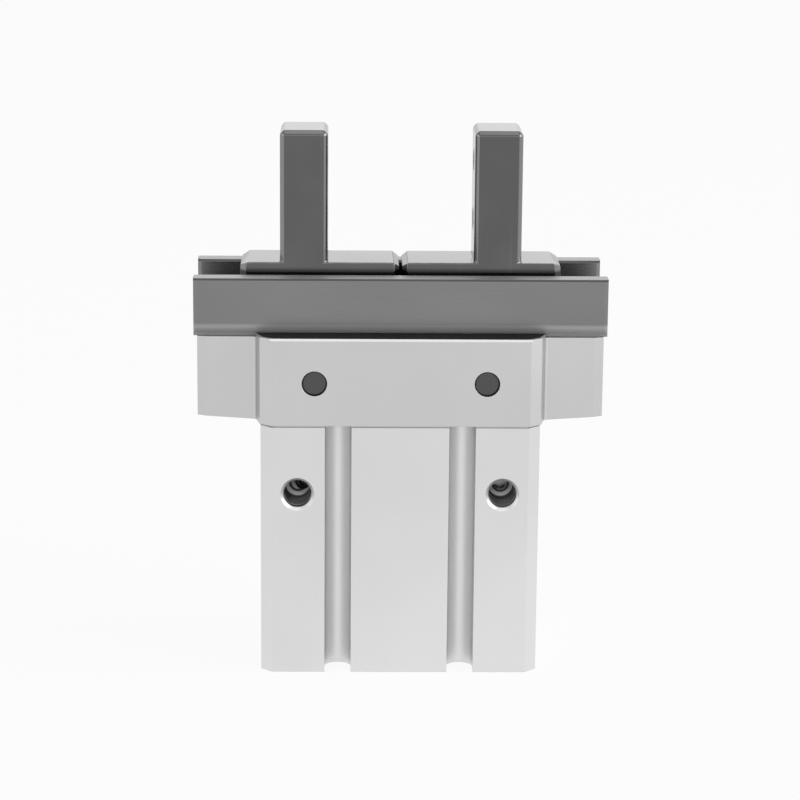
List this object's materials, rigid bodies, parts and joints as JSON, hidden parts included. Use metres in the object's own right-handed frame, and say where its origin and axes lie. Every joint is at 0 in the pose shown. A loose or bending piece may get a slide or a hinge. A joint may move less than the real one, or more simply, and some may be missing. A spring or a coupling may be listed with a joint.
{
  "type": "pneumatic gripper",
  "caption": "Parallel pneumatic gripper: a piston and bell-crank levers move two T-shaped fingers apart along a ball guide on top of a light anodised housing.",
  "frame": {"origin": "centre of the underside of the housing", "axes": "+Z towards the finger tips, -Y out of the face with the air ports, the fingers move along X"},
  "size_m": [0.0622, 0.0276, 0.082],
  "materials": {
    "body_anodised": "clear anodised, fine satin",
    "cap_aluminium": "turned",
    "guide_steel": "ground, dark grey",
    "finger_steel": "ground, dark grey",
    "pin_steel": "ground pin, dark",
    "lever_steel": "hardened, ground",
    "bright_steel": "ground, bright",
    "ball_steel": "polished bearing balls",
    "screw_steel": "black oxide",
    "black_rubber": "nitrile rubber",
    "bumper_urethane": "urethane",
    "magnet": "sintered"
  },
  "bodies": {
    "housing": {"body": "body_anodised", "passage_plug": "bright_steel", "guide_gasket": "black_rubber", "guide": "guide_steel", "guide_screws": "screw_steel", "guide_dowels": "bright_steel", "ball_stop_pins": "bright_steel", "end_cap": "cap_aluminium", "end_cap_seal": "black_rubber", "retaining_ring": "screw_steel", "rod_seal": "black_rubber", "rod_seal_retainer": "bright_steel", "upper_bumper": "bumper_urethane", "lower_bumper": "bumper_urethane", "lever_pin_right": "pin_steel", "lever_pin_left": "pin_steel"},
    "piston_group": {"piston": "cap_aluminium", "piston_rod": "bright_steel", "piston_seal": "black_rubber", "piston_magnet": "magnet", "magnet_holder": "cap_aluminium", "piston_screw": "screw_steel", "crosshead": "lever_steel", "crosshead_screw": "screw_steel"},
    "finger_left": {"finger_left": "finger_steel"},
    "finger_right": {"finger_right": "finger_steel"},
    "lever_left": {"lever_left": "lever_steel", "roller_pin_left": "bright_steel"},
    "lever_right": {"lever_right": "lever_steel", "roller_pin_right": "bright_steel"},
    "roller_left": {"rod_roller_left": "bright_steel"},
    "roller_right": {"rod_roller_right": "bright_steel"},
    "balls_left": {"ball_rows_left": "ball_steel"},
    "balls_right": {"ball_rows_right": "ball_steel"}
  },
  "joints": [
    {"name": "piston_slide", "type": "slide", "parent": "housing", "child": "piston_group", "axis": [0, 0, 1], "range_m": [0, 0.00438]},
    {"name": "finger_left_slide", "type": "slide", "parent": "housing", "child": "finger_left", "axis": [-1, 0, 0], "range_m": [0, 0.007]},
    {"name": "lever_left_swing", "type": "hinge", "parent": "housing", "child": "lever_left", "pos_m": [-0.0129, 0, 0.0453], "axis": [0, -1, 0], "range_deg": [0, 33.92]},
    {"name": "balls_left_roll", "type": "slide", "parent": "housing", "child": "balls_left", "axis": [-1, 0, 0], "range_m": [0, 0.0035]},
    {"name": "roller_left_spin", "type": "hinge", "parent": "lever_left", "child": "roller_left", "pos_m": [-0.00573, 0, 0.04311], "axis": [0, -1, 0], "continuous": true},
    {"name": "finger_right_slide", "type": "slide", "parent": "housing", "child": "finger_right", "axis": [1, 0, 0], "range_m": [0, 0.007]},
    {"name": "lever_right_swing", "type": "hinge", "parent": "housing", "child": "lever_right", "pos_m": [0.0129, 0, 0.0453], "axis": [0, 1, 0], "range_deg": [0, 33.92]},
    {"name": "balls_right_roll", "type": "slide", "parent": "housing", "child": "balls_right", "axis": [1, 0, 0], "range_m": [0, 0.0035]},
    {"name": "roller_right_spin", "type": "hinge", "parent": "lever_right", "child": "roller_right", "pos_m": [0.00573, 0, 0.04311], "axis": [0, 1, 0], "continuous": true}
  ],
  "couplings": [
    {"joint": "finger_left_slide", "follows": "piston_slide", "ratio": 1.6},
    {"joint": "lever_left_swing", "follows": "piston_slide", "rad_per_m": 135.3},
    {"joint": "balls_left_roll", "follows": "piston_slide", "ratio": 0.8},
    {"joint": "finger_right_slide", "follows": "piston_slide", "ratio": 1.6},
    {"joint": "lever_right_swing", "follows": "piston_slide", "rad_per_m": 135.3},
    {"joint": "balls_right_roll", "follows": "piston_slide", "ratio": 0.8}
  ]
}
